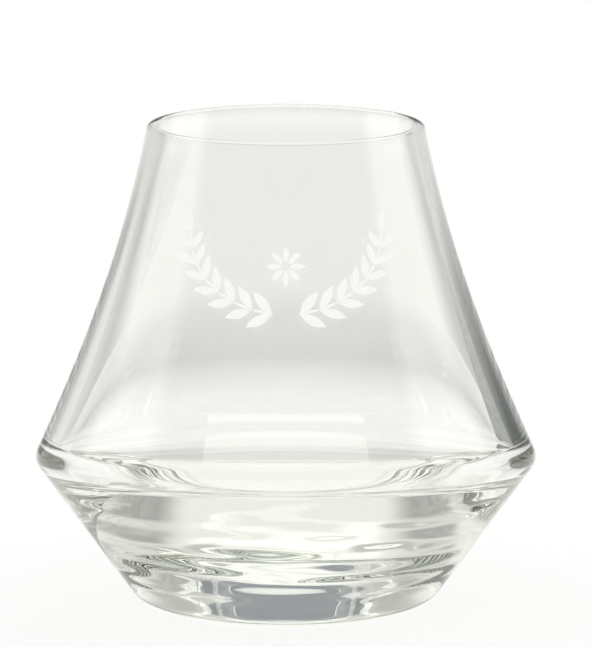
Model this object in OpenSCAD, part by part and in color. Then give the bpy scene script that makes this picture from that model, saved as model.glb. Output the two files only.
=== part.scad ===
// Stemless rum tasting glass, one piece of clear glass, sizes in millimetres.
// A bell-shaped bowl narrows to a fire-polished lip, a rounded belt marks the widest point,
// and a heavy solid base tapers below it to a rounded foot with a shallow hollow underneath.
// The whole glass is one turned outline of straight lines and arcs that run smoothly into each other.

/* [Bowl] */
// Height from the table to the top of the lip
height = 95.5; // [85:0.5:110]
// Outside diameter of the lip
lip_d = 56.6; // [48:0.2:64]
// Thickness of the glass at the lip
lip_wall = 2.2; // [1.6:0.1:3]
// Lean of the wall at the lip, in degrees from upright
lip_lean = 11; // [6:0.5:14]

/* [Belt] */
// Diameter at the widest point
belt_d = 100; // [92:0.5:110]
// Height of the widest point above the table
belt_h = 29.5; // [24:0.5:35]
// Radius of the rounded belt
belt_round = 3.7; // [2:0.1:6]
// Lean of the outside wall just above the belt, in degrees from upright
shoulder_lean = 25; // [21:0.5:29]
// Level thickness of the glass from the bowl's widest point to the outside of the belt
belt_wall = 4.2; // [3.2:0.1:7]

/* [Bowl floor] */
// Height of the floor's middle above the table, which is the depth of solid glass in the base
floor_h = 26.5; // [22:0.5:30]
// Radius where the floor turns up into the wall
floor_round = 3.2; // [1.5:0.1:5]
// Slope of the floor at its edge, in degrees, because the floor is a very shallow dish
floor_slope = 2; // [0.5:0.1:4]
// Lean of the inside wall just above the floor, in degrees from upright
bowl_lean = 24; // [20:0.5:26]

/* [Foot] */
// Diameter over the rounded foot
foot_d = 65.5; // [56:0.5:74]
// Radius of the foot's rounded edge
foot_round = 6.6; // [3:0.1:9]
// Width of the flat ring that the glass stands on
ring_w = 5; // [3:0.1:9]
// Depth of the hollow inside that ring
hollow_depth = 1.6; // [0.5:0.1:3]

/* [Hidden] */

// Unit vector at an angle, which is also the outward normal of a wall with that lean
function normal_at(angle) = [cos(angle), sin(angle)];
// Unit vector up along a wall with the given lean towards the axis
function up_wall(lean) = [-sin(lean), cos(lean)];
// Angle of a vector
function heading(v) = atan2(v.y, v.x);
// Arc angle, signed, of an arc that leaves p along a direction and ends at q
function turn_to(p, direction, q) = 2 * (heading(q - p) - heading(direction));

// Meeting point of the two arcs that join p to q smoothly, leaving p along from and reaching q along to
function arcs_meet(p, from, q, to) =
    let (
        gap = q - p,
        sum = from + to,
        bend = 2 * (1 - from * to),
        reach = (sqrt(pow(gap * sum, 2) + bend * (gap * gap)) - gap * sum) / bend
    )
    (p + q + reach * (from - to)) / 2;

// Centres of the rounded edges: foot, belt, lip and the corner of the bowl's floor
foot_c = [foot_d / 2 - foot_round, foot_round];
belt_c = [belt_d / 2 - belt_round, belt_h];
lip_c = [(lip_d - lip_wall) / 2, height - lip_wall / 2];
floor_r = belt_d / 2 - belt_wall - floor_round;
floor_c = [floor_r, floor_h + floor_round + floor_r * tan(floor_slope / 2)];

// The base's flank is the line that touches the foot's round and the belt's round
flank_run = belt_c - foot_c;
flank_normal = heading(flank_run) - acos((foot_round - belt_round) / norm(flank_run));

// Ends of the bell's two walls, at the belt or the floor and at the lip
outer_low = belt_c + belt_round * normal_at(shoulder_lean);
outer_top = lip_c + lip_wall / 2 * normal_at(lip_lean);
inner_low = floor_c + floor_round * normal_at(bowl_lean);
inner_top = lip_c - lip_wall / 2 * normal_at(lip_lean);
outer_mid = arcs_meet(outer_low, up_wall(shoulder_lean), outer_top, up_wall(lip_lean));
inner_mid = arcs_meet(inner_low, up_wall(bowl_lean), inner_top, up_wall(lip_lean));
outer_turn = turn_to(outer_low, up_wall(shoulder_lean), outer_mid);
inner_turn = turn_to(inner_low, up_wall(bowl_lean), inner_mid);

// The hollow under the foot is a shallow cap on the axis
hollow_r = foot_c.x - ring_w;
hollow_turn = 2 * atan(hollow_depth / hollow_r);

// Corners of half the section, anticlockwise from the middle of the underside. Each row is a point
// and the angle of the arc from it to the next one: above 0 the arc swells out of the glass,
// below 0 it cuts into the glass, and 0 is a straight line.
corners = [
    [[0, hollow_depth], -hollow_turn],
    [[hollow_r, 0], 0],
    [[foot_c.x, 0], 90 + flank_normal],
    [foot_c + foot_round * normal_at(flank_normal), 0],
    [belt_c + belt_round * normal_at(flank_normal), shoulder_lean - flank_normal],
    [outer_low, outer_turn],
    [outer_mid, lip_lean - shoulder_lean - outer_turn],
    [outer_top, 180],
    [inner_top, bowl_lean - lip_lean + inner_turn],
    [inner_mid, -inner_turn],
    [inner_low, -(90 + bowl_lean - floor_slope)],
    [floor_c + floor_round * normal_at(floor_slope - 90), -floor_slope],
    [[0, floor_h], 0]
];

// Arcs are drawn in steps no wider than this angle and no longer than this length
arc_step = 6;
arc_piece = 4;

// A vector turned anticlockwise
function turned(v, angle) = [v.x * cos(angle) - v.y * sin(angle), v.x * sin(angle) + v.y * cos(angle)];
// Points from p up to, but without, q along an arc of the given angle, or p alone for a straight line
function edge_points(p, q, turn) =
    turn == 0 ? [p] :
    let (
        chord = q - p,
        centre = (p + q + [-chord.y, chord.x] / tan(turn / 2)) / 2,
        steps = ceil(max(abs(turn) / arc_step, norm(chord) / arc_piece))
    )
    [for (i = [0 : steps - 1]) centre + turned(p - centre, turn * i / steps)];

// Half the section of the glass, ready to be turned round the axis
module half_section() {
    last = len(corners) - 1;
    polygon([
        for (i = [0 : last])
            let (next = i == last ? 0 : i + 1)
            each edge_points(corners[i][0], corners[next][0], corners[i][1])
    ]);
}

// The glass itself, bowl and base in one piece
module glass_body() {
    color([0.93, 0.96, 0.94, 0.35])
        rotate_extrude($fn = 240)
            half_section();
}

glass_body();
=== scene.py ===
"""Clear glass tumbler for tasting rum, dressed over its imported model, in metres and degrees."""
import cmath
import math

import bpy
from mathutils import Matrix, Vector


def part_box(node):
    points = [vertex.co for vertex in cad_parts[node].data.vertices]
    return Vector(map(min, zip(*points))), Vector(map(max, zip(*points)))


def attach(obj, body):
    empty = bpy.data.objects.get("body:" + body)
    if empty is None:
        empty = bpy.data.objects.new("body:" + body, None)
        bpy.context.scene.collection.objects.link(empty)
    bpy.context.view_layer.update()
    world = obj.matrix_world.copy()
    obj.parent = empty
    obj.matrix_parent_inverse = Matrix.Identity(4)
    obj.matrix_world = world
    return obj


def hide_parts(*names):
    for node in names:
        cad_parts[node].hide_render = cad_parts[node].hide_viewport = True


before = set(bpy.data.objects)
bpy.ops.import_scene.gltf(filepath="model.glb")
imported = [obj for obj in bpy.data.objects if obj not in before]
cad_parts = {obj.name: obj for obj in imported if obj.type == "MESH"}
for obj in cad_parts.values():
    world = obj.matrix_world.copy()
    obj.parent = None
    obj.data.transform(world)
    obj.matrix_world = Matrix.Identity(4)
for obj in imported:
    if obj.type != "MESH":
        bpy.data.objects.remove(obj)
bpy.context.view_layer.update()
scene = bpy.context.scene

# Glass body
# The whole tumbler is one piece of clear soda-lime glass, pressed in a mould and fire-polished, so its edges
# are round. One half section of lines and arcs, turned round the axis, gives the bell-shaped bowl, the belt,
# the heavy base and the foot. Faint waves from the mould stay in the base, and are stronger in front.
_, glass_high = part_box("glass_body")
height = glass_high.z
belt_r = glass_high.x
lip_r = 0.0283
lip_wall = 0.0022
lip_lean = 11
belt_h = 0.0295
belt_round = 0.0037
shoulder_lean = 25
belt_wall = 0.0042
floor_h = 0.0265
floor_round = 0.0032
floor_slope = 2
bowl_lean = 24
foot_r = 0.03275
foot_round = 0.0066
ring_w = 0.005
hollow_depth = 0.0016
wave_height = 0.0008
wave_length = 0.03
wave_rise = 0.0036
wave_detail = 1.5
wave_roughness = 0.4
wave_low = 0.0035
wave_top = 0.0275
wave_fade = 0.004
wave_calm = 0.03
wave_calm_from = -0.028
wave_calm_to = -0.008


def normal_at(angle):
    """Unit vector at an angle, which is also the outward normal of a wall with that lean."""
    return cmath.rect(1, math.radians(angle))


def up_wall(lean):
    """Unit vector up along a wall with the given lean towards the axis."""
    return 1j * normal_at(lean)


def heading(vector):
    """Angle of a vector, in degrees."""
    return math.degrees(cmath.phase(vector))


def dot(a, b):
    """Scalar product of two vectors of the section."""
    return (a * b.conjugate()).real


def arcs_meet(start, leaving, end, reaching):
    """Point where two arcs meet that join start to end smoothly, in the two directions given."""
    gap = end - start
    total = leaving + reaching
    bend = 2 * (1 - dot(leaving, reaching))
    reach = (math.sqrt(dot(gap, total) ** 2 + bend * abs(gap) ** 2) - dot(gap, total)) / bend
    return (start + end + reach * (leaving - reaching)) / 2


def turn_to(start, leaving, end):
    """Angle of the arc that leaves start along a direction and ends at end."""
    return 2 * (heading(end - start) - heading(leaving))


# Each point of the section is a complex number, the distance from the axis with the height as imaginary part
foot_c = complex(foot_r - foot_round, foot_round)
belt_c = complex(belt_r - belt_round, belt_h)
lip_c = complex(lip_r - lip_wall / 2, height - lip_wall / 2)
floor_r = belt_r - belt_wall - floor_round
floor_c = complex(floor_r, floor_h + floor_round + floor_r * math.tan(math.radians(floor_slope / 2)))
flank_run = belt_c - foot_c
flank = heading(flank_run) - math.degrees(math.acos((foot_round - belt_round) / abs(flank_run)))
outer_low = belt_c + belt_round * normal_at(shoulder_lean)
outer_top = lip_c + lip_wall / 2 * normal_at(lip_lean)
inner_low = floor_c + floor_round * normal_at(bowl_lean)
inner_top = lip_c - lip_wall / 2 * normal_at(lip_lean)
outer_mid = arcs_meet(outer_low, up_wall(shoulder_lean), outer_top, up_wall(lip_lean))
inner_mid = arcs_meet(inner_low, up_wall(bowl_lean), inner_top, up_wall(lip_lean))
outer_turn = turn_to(outer_low, up_wall(shoulder_lean), outer_mid)
inner_turn = turn_to(inner_low, up_wall(bowl_lean), inner_mid)
hollow_r = foot_c.real - ring_w
hollow_turn = math.degrees(2 * math.atan(hollow_depth / hollow_r))

# Corners of the section from the middle of the underside round to the middle of the bowl's floor, each with
# the angle of the arc to the next one: above 0 it swells out, below 0 it cuts in, and 0 is straight
corners = [
    (complex(0, hollow_depth), -hollow_turn),
    (complex(hollow_r, 0), 0),
    (complex(foot_c.real, 0), 90 + flank),
    (foot_c + foot_round * normal_at(flank), 0),
    (belt_c + belt_round * normal_at(flank), shoulder_lean - flank),
    (outer_low, outer_turn),
    (outer_mid, lip_lean - shoulder_lean - outer_turn),
    (outer_top, 180),
    (inner_top, bowl_lean - lip_lean + inner_turn),
    (inner_mid, -inner_turn),
    (inner_low, -(90 + bowl_lean - floor_slope)),
    (floor_c + floor_round * normal_at(floor_slope - 90), -floor_slope),
    (complex(0, floor_h), 0),
]

# The surface is cut finely, as clear glass needs it, in sides round the axis and steps along the section
glass_turns = 288
arc_step = 5
base_step = 0.00065
wall_step = 0.0014
merge_within = 1e-6


def stretch(start, end, turn, longest_step):
    """Points from start up to, but without, end along an arc of the given angle or a straight line."""
    steps = math.ceil(max(abs(turn) / arc_step, abs(end - start) / longest_step))
    if turn == 0:
        return [start + (end - start) * i / steps for i in range(steps)]
    half_turn = math.radians(turn / 2)
    centre = (start + end + 1j * (end - start) / math.tan(half_turn)) / 2
    return [centre + (start - centre) * cmath.exp(2j * half_turn * i / steps) for i in range(steps)]


section = []
for (start, turn), (end, _) in zip(corners, corners[1:]):
    section += stretch(start, end, turn, base_step if end.imag < belt_h else wall_step)
section.append(corners[-1][0])


def add_node(tree, kind, *values, **settings):
    """Adds a node, and fills its inputs in order with numbers or with other nodes' outputs."""
    made = tree.nodes.new(kind)
    for name, setting in settings.items():
        setattr(made, name, setting)
    for socket, value in zip(made.inputs, values):
        if isinstance(value, bpy.types.NodeSocket):
            tree.links.new(value, socket)
        elif value is not None:
            socket.default_value = value
    return made


def math_node(tree, operation, *values):
    """Output of one step of arithmetic."""
    return add_node(tree, "ShaderNodeMath", *values, operation=operation).outputs[0]


def vector_node(tree, operation, *values):
    """One step of arithmetic with vectors."""
    return add_node(tree, "ShaderNodeVectorMath", *values, operation=operation)


def scaled(tree, vector, factor):
    """Output of a vector times a number."""
    return vector_node(tree, "SCALE", vector, None, None, factor).outputs[0]


def split(tree, vector):
    """Outputs X, Y and Z of a vector."""
    return add_node(tree, "ShaderNodeSeparateXYZ", vector).outputs


def joined(tree, x, y, z):
    """Output of a vector with the given X, Y and Z."""
    return add_node(tree, "ShaderNodeCombineXYZ", x, y, z).outputs[0]


def eased(tree, value, start, end, low, high):
    """Output that goes smoothly from low to high while a value goes from start to end."""
    easing = add_node(tree, "ShaderNodeMapRange", value, start, end, low, high,
                      interpolation_type="SMOOTHSTEP")
    return easing.outputs[0]


def add_input(tree, name, kind):
    """Adds a named input to a tree and gives its identifier."""
    return tree.interface.new_socket(name=name, in_out="INPUT", socket_type=kind).identifier


# The tree turns the section, which it is given as a line of points, into the closed surface of the glass
turning = bpy.data.node_groups.new("turned_glass", "GeometryNodeTree")
turning_sizes = {
    "Turns": glass_turns,
    "Wave Height": wave_height,
    "Wave Length": wave_length,
    "Wave Rise": wave_rise,
    "Wave Low": wave_low,
    "Wave Top": wave_top,
    "Wave Fade": wave_fade,
    "Wave Calm": wave_calm,
    "Calm From": wave_calm_from,
    "Calm To": wave_calm_to,
}
socket_kinds = {int: "NodeSocketInt", float: "NodeSocketFloat"}
add_input(turning, "Section", "NodeSocketGeometry")
turning_in = {name: add_input(turning, name, socket_kinds[type(size)])
              for name, size in turning_sizes.items()}
glass_in = add_input(turning, "Material", "NodeSocketMaterial")
turning.interface.new_socket(name="Glass", in_out="OUTPUT", socket_type="NodeSocketGeometry")
given = turning.nodes.new("NodeGroupInput").outputs
counted = add_node(turning, "GeometryNodeAttributeDomainSize", given["Section"], component="MESH")
points = counted.outputs["Point Count"]
columns = add_node(turning, "FunctionNodeIntegerMath", given["Turns"], 1, operation="ADD").outputs[0]
grid = add_node(turning, "GeometryNodeMeshGrid", 1.0, 1.0, columns, points).outputs["Mesh"]
index = turning.nodes.new("GeometryNodeInputIndex").outputs[0]
column = add_node(turning, "FunctionNodeIntegerMath", index, points, operation="DIVIDE").outputs[0]
row = add_node(turning, "FunctionNodeIntegerMath", index, points, operation="MODULO").outputs[0]
share = math_node(turning, "DIVIDE", column, given["Turns"])
angle = math_node(turning, "MULTIPLY", share, math.tau)
place = turning.nodes.new("GeometryNodeInputPosition").outputs[0]
outline = add_node(turning, "GeometryNodeSampleIndex", data_type="FLOAT_VECTOR", domain="POINT")
turning.links.new(given["Section"], outline.inputs["Geometry"])
turning.links.new(place, outline.inputs["Value"])
turning.links.new(row, outline.inputs["Index"])
radius, _, rise = split(turning, outline.outputs[0])
across = math_node(turning, "MULTIPLY", radius, math_node(turning, "COSINE", angle))
along = math_node(turning, "MULTIPLY", radius, math_node(turning, "SINE", angle))
turned_place = joined(turning, across, along, rise)
turned = add_node(turning, "GeometryNodeSetPosition", grid, None, turned_place).outputs[0]
closed = add_node(turning, "GeometryNodeMergeByDistance", turned, None, merge_within).outputs[0]

# The waves lie on the outside of the base alone, fade out at the foot and the belt, and are calm at the back
outward = turning.nodes.new("GeometryNodeInputNormal").outputs[0]
outside = math_node(turning, "LESS_THAN", split(turning, outward)["Z"], 0.0)
_, wave_y, wave_z = split(turning, place)
calming = eased(turning, wave_y, given["Calm From"], given["Calm To"], 1.0, given["Wave Calm"])
waving_there = math_node(turning, "MULTIPLY", outside, calming)
low_end = math_node(turning, "ADD", given["Wave Low"], given["Wave Fade"])
top_end = math_node(turning, "SUBTRACT", given["Wave Top"], given["Wave Fade"])
above_foot = eased(turning, wave_z, given["Wave Low"], low_end, 0.0, waving_there)
below_belt = eased(turning, wave_z, given["Wave Top"], top_end, 0.0, above_foot)
per_length = math_node(turning, "DIVIDE", 1.0, given["Wave Length"])
per_rise = math_node(turning, "DIVIDE", 1.0, given["Wave Rise"])
wave_scale = joined(turning, per_length, per_length, per_rise)
wave_place = vector_node(turning, "MULTIPLY", place, wave_scale).outputs[0]
wave = add_node(turning, "ShaderNodeTexNoise", wave_place, None, 1.0, wave_detail, wave_roughness).outputs[0]
swing = math_node(turning, "SUBTRACT", wave, 0.5)
faded_swing = math_node(turning, "MULTIPLY", swing, below_belt)
lift = math_node(turning, "MULTIPLY", faded_swing, given["Wave Height"])
lifting = scaled(turning, outward, lift)
waved = add_node(turning, "GeometryNodeSetPosition", closed, None, None, lifting).outputs[0]
smooth = add_node(turning, "GeometryNodeSetShadeSmooth", waved, None, True).outputs[0]
whole = add_node(turning, "GeometryNodeRealizeInstances", smooth).outputs[0]
finished = add_node(turning, "GeometryNodeSetMaterial", whole, None, given["Material"]).outputs[0]
add_node(turning, "NodeGroupOutput", finished)

# Clear glass is almost colourless, and its faint green shows only through the thick base
glass_white = (1, 1, 1, 1)
glass_tint = (0.62, 0.86, 0.34, 1)
glass_tint_per_metre = 0.9
glass_ior = 1.52


def new_finish(name, roughness, gloss):
    """A new material of the given roughness and gloss, with its node tree and its shader."""
    finish = bpy.data.materials.new(name)
    finish.use_nodes = True
    shader = finish.node_tree.nodes["Principled BSDF"]
    shader.inputs["Roughness"].default_value = roughness
    shader.inputs["Specular IOR Level"].default_value = gloss
    return finish, finish.node_tree, shader


clear_glass, glass_nodes, glass_shader = new_finish("clear_glass", roughness=0.0, gloss=0.5)
glass_shader.inputs["Base Color"].default_value = glass_white
glass_shader.inputs["IOR"].default_value = glass_ior
glass_shader.inputs["Transmission Weight"].default_value = 1.0
absorption = add_node(glass_nodes, "ShaderNodeVolumeAbsorption", glass_tint, glass_tint_per_metre)
glass_nodes.links.new(absorption.outputs[0], glass_nodes.nodes["Material Output"].inputs["Volume"])


def new_piece(name, points, edges=(), faces=()):
    """A new object in the scene, with a mesh of the given points, edges and faces."""
    mesh = bpy.data.meshes.new(name)
    mesh.from_pydata(points, edges, faces)
    piece = bpy.data.objects.new(name, mesh)
    scene.collection.objects.link(piece)
    return piece


def keep_mesh(piece):
    """Turns what a piece's node tree makes into its own plain mesh, and takes the tree off it."""
    seen = piece.evaluated_get(bpy.context.evaluated_depsgraph_get())
    piece.data = bpy.data.meshes.new_from_object(seen)
    piece.modifiers.clear()


section_points = [(point.real, 0, point.imag) for point in section]
tumbler = new_piece("glass_tumbler", section_points, edges=[(i, i + 1) for i in range(len(section) - 1)])
turning_step = tumbler.modifiers.new("turned_glass", "NODES")
turning_step.node_group = turning
for name, size in turning_sizes.items():
    turning_step[turning_in[name]] = size
turning_step[glass_in] = clear_glass
keep_mesh(tumbler)
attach(tumbler, "root")
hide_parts("glass_body")

# Etched sprigs
# The front of the bowl carries a small plain ornament, etched white: two leafy sprigs round a rosette. Every
# leaf, petal and piece of stem is one thin frosted shape, which is stretched, turned and laid on the wall.
sprig_z = 0.0715
sprig_half_w = 0.0172
sprig_drop = 0.0145
sprig_from = 8
sprig_step = 12
sprig_leaves = 7
stem_w = 0.0005
stem_overlap = 1.25
lowest_leaf_l = 0.0052
leaf_shrink = 0.00022
leaf_spread = 38
leaf_slim = 0.34
leaf_depth = 0.00005
petals = 8
petal_l = 0.003
petal_w = 0.0011
rosette_z = 0.0655
rosette_r = 0.0021

# One leaf is 1 long and 1 wide, with two arched edges, a front, a back and a thin rim between them
leaf_steps = 8
leaf_edge = [(i / leaf_steps - 0.5, -0.5 * math.sin(math.pi * i / leaf_steps))
             for i in range(leaf_steps + 1)]
leaf_edge += [(x, -z) for x, z in reversed(leaf_edge[1:-1])]
around_leaf = len(leaf_edge)
leaf_front = [(0, 1, around_leaf - 1), (leaf_steps + 1, leaf_steps - 1, leaf_steps)]
leaf_front += [(around_leaf - i, i, i + 1, around_leaf - i - 1) for i in range(1, leaf_steps - 1)]
leaf_back = [tuple(around_leaf + i for i in reversed(face)) for face in leaf_front]
leaf_rim = [(i, i + around_leaf, (i + 1) % around_leaf + around_leaf, (i + 1) % around_leaf)
            for i in range(around_leaf)]
leaf_points = [(x, -leaf_depth, z) for x, z in leaf_edge] + [(x, leaf_depth, z) for x, z in leaf_edge]
leaf = new_piece("leaf", leaf_points, faces=leaf_front + leaf_back + leaf_rim)


def on_stem(angle):
    """Point of the right sprig's stem, which curves out and up like a quarter of an oval."""
    turned = math.radians(angle)
    return complex(sprig_half_w * math.sin(turned), -sprig_drop * math.cos(turned))


# Each spot is the middle of one shape with its heading, length and width, first for the sprig on the right
spots = []
for i in range(sprig_leaves):
    root = on_stem(sprig_from + sprig_step * i)
    tip = on_stem(sprig_from + sprig_step * (i + 1))
    ahead = heading(tip - root)
    spots.append(((root + tip) / 2, ahead, stem_overlap * abs(tip - root), stem_w))
    leaf_l = lowest_leaf_l - leaf_shrink * i
    for turn in (ahead - leaf_spread, ahead + leaf_spread):
        spots.append((root + leaf_l / 2 * normal_at(turn), turn, leaf_l, leaf_l * leaf_slim))
spots.append((tip + leaf_l / 2 * normal_at(ahead), ahead, leaf_l, leaf_l * leaf_slim))
spots += [(complex(-middle.real, middle.imag), 180 - turn, long, wide) for middle, turn, long, wide in spots]
rosette_c = complex(0, rosette_z - sprig_z)
for i in range(petals):
    turn = 360 * i / petals
    spots.append((rosette_c + rosette_r * normal_at(turn), turn, petal_l, petal_w))

sprigs = new_piece("etched_sprigs", [(middle.real, 0, sprig_z + middle.imag) for middle, _, _, _ in spots])
spot_values = {
    "turn": [-math.radians(turn) for _, turn, _, _ in spots],
    "long": [long for _, _, long, _ in spots],
    "wide": [wide for _, _, _, wide in spots],
}
for name, values in spot_values.items():
    sprigs.data.attributes.new(name, "FLOAT", "POINT").data.foreach_set("value", values)

# The tree puts a leaf on every spot, and moves each of its points straight back to the wall of the glass,
# which it looks for from a place well in front
look_from_y = -0.1
look_l = 0.2
laying = bpy.data.node_groups.new("laid_leaves", "GeometryNodeTree")
add_input(laying, "Spots", "NodeSocketGeometry")
leaf_in = add_input(laying, "Leaf", "NodeSocketObject")
wall_in = add_input(laying, "Wall", "NodeSocketObject")
etching_in = add_input(laying, "Material", "NodeSocketMaterial")
laying.interface.new_socket(name="Sprigs", in_out="OUTPUT", socket_type="NodeSocketGeometry")
given = laying.nodes.new("NodeGroupInput").outputs
leaf_shape = add_node(laying, "GeometryNodeObjectInfo", given["Leaf"]).outputs["Geometry"]
wall_shape = add_node(laying, "GeometryNodeObjectInfo", given["Wall"]).outputs["Geometry"]
turn_there, long_there, wide_there = [
    add_node(laying, "GeometryNodeInputNamedAttribute", name, data_type="FLOAT").outputs[0]
    for name in spot_values
]
turned_by = joined(laying, 0.0, turn_there, 0.0)
stretched_by = joined(laying, long_there, 1.0, wide_there)
strewn = add_node(laying, "GeometryNodeInstanceOnPoints", given["Spots"], None, leaf_shape, None, None,
                  turned_by, stretched_by).outputs[0]
leaves = add_node(laying, "GeometryNodeRealizeInstances", strewn).outputs[0]
leaf_x, leaf_y, leaf_z = split(laying, laying.nodes.new("GeometryNodeInputPosition").outputs[0])
looking_back = add_node(laying, "GeometryNodeRaycast")
laying.links.new(wall_shape, looking_back.inputs["Target Geometry"])
laying.links.new(joined(laying, leaf_x, look_from_y, leaf_z), looking_back.inputs["Source Position"])
looking_back.inputs["Ray Direction"].default_value = (0, 1, 0)
looking_back.inputs["Ray Length"].default_value = look_l
wall_y = split(laying, looking_back.outputs["Hit Position"])["Y"]
laid_place = joined(laying, leaf_x, math_node(laying, "ADD", wall_y, leaf_y), leaf_z)
laid = add_node(laying, "GeometryNodeSetPosition", leaves, None, laid_place).outputs[0]
etched = add_node(laying, "GeometryNodeSetMaterial", laid, None, given["Material"]).outputs[0]
add_node(laying, "NodeGroupOutput", etched)

# Etched glass scatters light evenly, with a fine grain
etch_pale = (0.99, 0.99, 0.98, 1)
etch_dull = (0.9, 0.9, 0.88, 1)
etch_grain = 2500.0


def mixed_colour(tree, share, ground, over):
    """Output of a colour laid over another one in the given share."""
    other_kinds = [None] * 5
    return add_node(tree, "ShaderNodeMix", share, *other_kinds, ground, over, data_type="RGBA").outputs[2]


etching, etch_nodes, etch_shader = new_finish("etched_glass", roughness=0.9, gloss=0.2)
etch_place = add_node(etch_nodes, "ShaderNodeTexCoord").outputs["Object"]
grain = add_node(etch_nodes, "ShaderNodeTexNoise", etch_place, None, etch_grain).outputs[0]
etch_tone = mixed_colour(etch_nodes, grain, etch_dull, etch_pale)
etch_nodes.links.new(etch_tone, etch_shader.inputs["Base Color"])

laying_step = sprigs.modifiers.new("laid_leaves", "NODES")
laying_step.node_group = laying
laying_step[leaf_in] = leaf
laying_step[wall_in] = tumbler
laying_step[etching_in] = etching
keep_mesh(sprigs)
bpy.data.objects.remove(leaf)
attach(sprigs, "root")

# Table
# A plain white table top, which reaches far enough to be the background as well. Seen through the glass it
# is a little warm, darker far behind by painted shade, and darker under the glass by a painted oval shadow.
table_half = 4.0
table_z = -0.0001
table_white = (1, 1, 1, 1)
table_tint = (1.0, 1.0, 0.965)
table_near = 0.99
table_dimmest = 0.72
table_far = 0.87
table_near_y = 0.48
table_dimmest_y = 0.8
table_far_y = 3.0
shadow_depth = 0.4
shadow_place = (0, 0.029, 0)
shadow_reach = (0.075, 0.0175, 1)
shadow_core = 0.3
table_corners = [(-table_half, -table_half, table_z), (table_half, -table_half, table_z),
                 (table_half, table_half, table_z), (-table_half, table_half, table_z)]
table = new_piece("table", table_corners, faces=[(0, 1, 2, 3)])
table_paint, table_nodes, table_shader = new_finish("pale_table", roughness=1.0, gloss=0.0)
table_place = add_node(table_nodes, "ShaderNodeTexCoord").outputs["Object"]
table_y = split(table_nodes, table_place)["Y"]
# Painted shade: seen through the glass, the table grows darker behind it down to its dimmest level, then
# paler far off
painted_dimming = add_node(table_nodes, "ShaderNodeMapRange", table_y, table_near_y, table_dimmest_y,
                         table_near, table_dimmest).outputs[0]
table_clearing = add_node(table_nodes, "ShaderNodeMapRange", table_y, table_dimmest_y, table_far_y,
                          0.0, table_far - table_dimmest).outputs[0]
table_open = math_node(table_nodes, "ADD", painted_dimming, table_clearing)
# Painted shadow: an oval patch just behind the axis of the glass is darker by shadow_depth, softening out to
# its edge
from_shadow = vector_node(table_nodes, "SUBTRACT", table_place, shadow_place).outputs[0]
shadow_share = vector_node(table_nodes, "DIVIDE", from_shadow, shadow_reach).outputs[0]
shadow_out = vector_node(table_nodes, "LENGTH", shadow_share).outputs["Value"]
shadow_left = eased(table_nodes, shadow_out, shadow_core, 1.0, 1 - shadow_depth, 1.0)
table_level = math_node(table_nodes, "MULTIPLY", table_open, shadow_left)
table_shade = scaled(table_nodes, table_tint, table_level)
# The camera sees the table plain white; all other rays see the painted shade and the painted shadow
seen_straight = add_node(table_nodes, "ShaderNodeLightPath").outputs["Is Camera Ray"]
table_tone = mixed_colour(table_nodes, seen_straight, table_shade, table_white)
table_nodes.links.new(table_tone, table_shader.inputs["Base Color"])
table.data.materials.append(table_paint)

# Grey card
# A graded grey card stands on the table behind the glass, on the right, as a studio sets it to give clear
# glass a dark edge. Only light that has come through the glass sees it.
card_back = 0.16
card_left = 0.106
card_right = 0.8
card_h = 0.13
card_dark = (0.03, 0.046, 0.044, 1)
card_pale = (0.74, 0.74, 0.72, 1)
card_fade_from = 0.058
card_fade_to = 0.12
card_corners = [(card_left, card_back, 0), (card_right, card_back, 0),
                (card_right, card_back, card_h), (card_left, card_back, card_h)]
card = new_piece("grey_card", card_corners, faces=[(0, 1, 2, 3)])
card_paint, card_nodes, card_shader = new_finish("graded_card", roughness=1.0, gloss=0.0)
card_place = add_node(card_nodes, "ShaderNodeTexCoord").outputs["Object"]
card_rise = split(card_nodes, card_place)["Z"]
card_fade = add_node(card_nodes, "ShaderNodeMapRange", card_rise, card_fade_from, card_fade_to).outputs[0]
card_tone = mixed_colour(card_nodes, card_fade, card_dark, card_pale)
card_nodes.links.new(card_tone, card_shader.inputs["Base Color"])
card.data.materials.append(card_paint)
card.visible_camera = False
card.visible_diffuse = False
card.visible_glossy = False
card.visible_shadow = False

# Studio
# Soft light comes from all round. What the glass mirrors and refracts is a room: a pale back wall with a
# brighter patch, dim corners, a tall soft light on each side, a barred window above the camera, and a
# ceiling that is dim and cool on that side. Angles are round from the back wall and up from level.
room_level = 0.55
room_warm = (1.0, 1.0, 0.955, 1)
room_cool = (0.86, 0.92, 1.0, 1)
plain_white = (1, 1, 1, 1)
window_tilt = 14.3

# Each panel lies over the ones before it, on both sides of the room where it doesn't name one
panels = {
    "front wall": {"around": (112, 200), "up": (-90, 50), "level": 0.15, "soft": 3},
    "ceiling": {"around": (-20, 200), "up": (60, 120), "level": 0.85, "soft": 3},
    "ceiling over the table": {"around": (-20, 200), "up": (77, 120), "level": 1.15, "soft": 1.5},
    "ceiling in shade": {"around": (105, 200), "up": (57, 78), "level": 0.3, "soft": 3, "cool": 1.0},
    "side wall": {"around": (15, 66), "up": (-8, 19), "level": 0.7, "soft": 3},
    "dim corner": {"around": (15, 66), "up": (-8, 9), "level": 0.36, "soft": 3},
    "pale corner": {"around": (34, 60), "up": (-8, 12), "level": 0.82, "soft": 3, "side": "left"},
    "back wall": {"around": (-20, 18), "up": (-8, 60), "level": 0.89, "soft": 4},
    "bright patch": {"around": (-20, 14), "up": (9, 17), "level": 1.12, "soft": 2.2},
    "back wall sides": {"around": (10, 22), "up": (15.5, 21), "level": 0.55, "soft": 1.5},
    "back wall above": {"around": (-20, 25), "up": (21, 60), "level": 1.1, "soft": 1.5},
    "high side": {"around": (52, 106), "up": (24, 50), "level": 0.95, "soft": 4},
    "side light": {"around": (70, 106), "up": (-8, 50), "level": 1.15, "soft": 3},
    "window": {"around": (137, 200), "up": (27.82, 31), "level": 2.4, "soft": 0.05, "tilt": window_tilt},
    "window bar": {"around": (130, 200), "up": (27.93, 28.1), "level": 0.7, "soft": 0.03,
                   "tilt": window_tilt},
}

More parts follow.
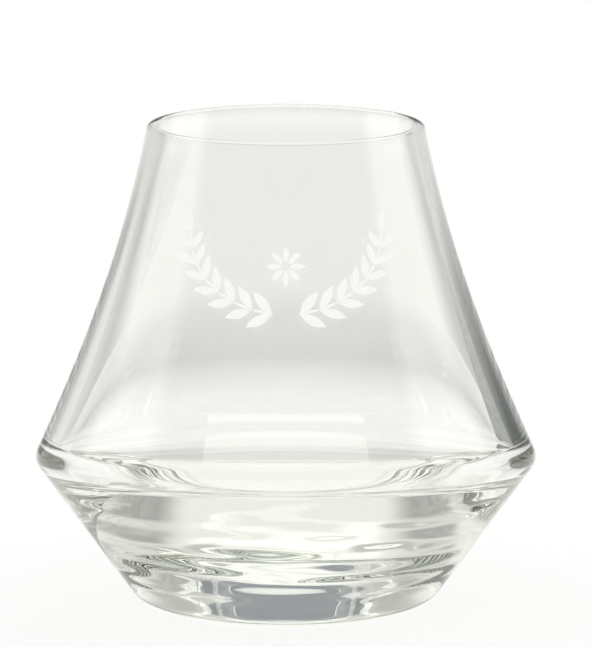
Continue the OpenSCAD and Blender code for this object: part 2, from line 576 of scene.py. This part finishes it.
studio = bpy.data.worlds.new("studio")
scene.world = studio
studio.use_nodes = True
sky = studio.node_tree
sky.nodes.clear()
looking = add_node(sky, "ShaderNodeTexCoord").outputs["Generated"]
east, north, above = split(sky, looking)
to_right = math_node(sky, "ARCTAN2", east, north)
around = {"left": math_node(sky, "MULTIPLY", to_right, -1.0), "both": math_node(sky, "ABSOLUTE", to_right)}


def from_angle(value, angle, soft):
    """0 below an angle and 1 above it, with a soft edge."""
    return eased(sky, value, math.radians(angle - soft), math.radians(angle + soft), 0.0, 1.0)


def between(value, limits, soft):
    """1 between two angles and 0 outside them, with soft edges."""
    return math_node(sky, "SUBTRACT", from_angle(value, limits[0], soft), from_angle(value, limits[1], soft))


def up_from(tilt):
    """Angle up from a level that is tipped down towards the camera by the given angle."""
    upright = math_node(sky, "MULTIPLY", above, math.cos(math.radians(tilt)))
    tipped = math_node(sky, "MULTIPLY_ADD", north, math.sin(math.radians(tilt)), upright)
    return math_node(sky, "ARCSINE", tipped)


def mixed(share, ground, over):
    """A number laid over another one in the given share."""
    return add_node(sky, "ShaderNodeMix", share, None, ground, over).outputs[0]


level = room_level
cool = 0.0
for panel in panels.values():
    wide = between(around[panel.get("side", "both")], panel["around"], panel["soft"])
    tall = between(up_from(panel.get("tilt", 0)), panel["up"], panel["soft"])
    inside = math_node(sky, "MULTIPLY", wide, tall)
    level = mixed(inside, level, panel["level"])
    cool = mixed(inside, cool, panel.get("cool", 0.0))
room = add_node(sky, "ShaderNodeBackground", mixed_colour(sky, cool, room_warm, room_cool), level)
plain = add_node(sky, "ShaderNodeBackground", plain_white, 1.0)
rays = add_node(sky, "ShaderNodeLightPath").outputs
through_glass = math_node(sky, "MAXIMUM", rays["Is Glossy Ray"], rays["Is Transmission Ray"])
lights_table = math_node(sky, "GREATER_THAN", rays["Diffuse Depth"], 0.5)
shows_room = math_node(sky, "SUBTRACT", through_glass, lights_table)
shown = add_node(sky, "ShaderNodeMixShader", shows_room, plain.outputs[0], room.outputs[0])
add_node(sky, "ShaderNodeOutputWorld", shown.outputs[0])

# Camera
# The viewpoint of the photograph, close to the glass, a little above its middle and nearly level. The focal
# length and the sideways shift are worked out from pixels, because the lens isn't known.
photo_height = 647
focal_pixels = 1267
axis_shift_pixels = 10.2
sensor = 36
camera_back = 0.2583
camera_up = 0.0566
camera_tilt = 0.0049
nearest_seen = 0.01
camera_data = bpy.data.cameras.new("camera")
camera_data.sensor_width = sensor
camera_data.lens = focal_pixels * sensor / photo_height
camera_data.shift_x = axis_shift_pixels / photo_height
camera_data.clip_start = nearest_seen
camera = bpy.data.objects.new("camera", camera_data)
camera.location = (0, -camera_back, camera_up)
camera.rotation_euler = (math.pi / 2 - camera_tilt, 0, 0)
scene.collection.objects.link(camera)
scene.camera = camera
scene.view_settings.view_transform = "Standard"

# Light passes many walls of glass before it leaves, so it is followed for longer than usual
scene.cycles.max_bounces = 32
scene.cycles.glossy_bounces = 24
scene.cycles.transmission_bounces = 32
scene.cycles.caustics_refractive = True
scene.cycles.caustics_reflective = True
scene.cycles.blur_glossy = 0
